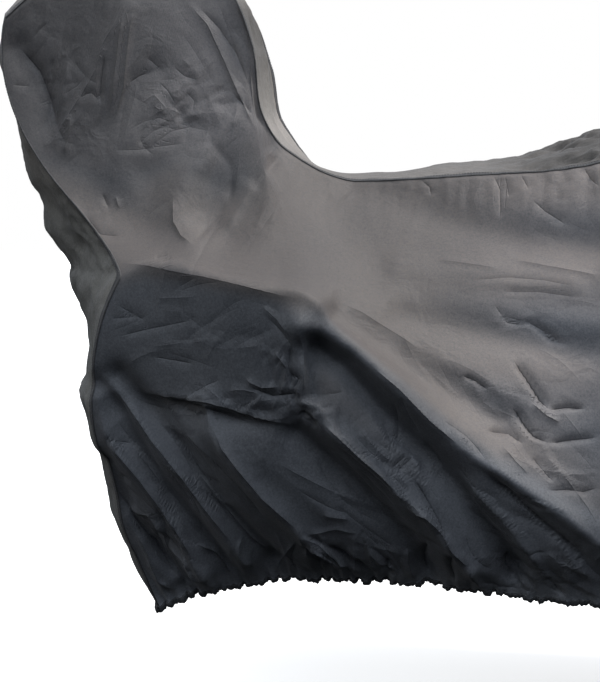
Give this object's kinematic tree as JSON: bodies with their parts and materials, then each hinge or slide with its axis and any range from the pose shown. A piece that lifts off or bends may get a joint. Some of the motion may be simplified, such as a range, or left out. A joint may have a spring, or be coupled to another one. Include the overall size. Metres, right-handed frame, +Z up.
{
  "type": "motorcycle cover",
  "caption": "Fitted full-length motorcycle cover of dark grey coated cloth, draped to shape, with a gathered elastic hem and an open underside.",
  "frame": {"origin": "under the cloth of the centre panel, where it rests on the seat", "axes": "+X forward, +Y towards the left side, +Z up"},
  "size_m": [2.4328, 0.9236, 1.2693],
  "materials": {
    "cover_cloth": "dark grey coated polyester with a fine plain weave and a soft sheen"
  },
  "bodies": {
    "root": {"side_panel_right": "cover_cloth", "side_panel_left": "cover_cloth", "centre_panel": "cover_cloth"}
  },
  "joints": []
}
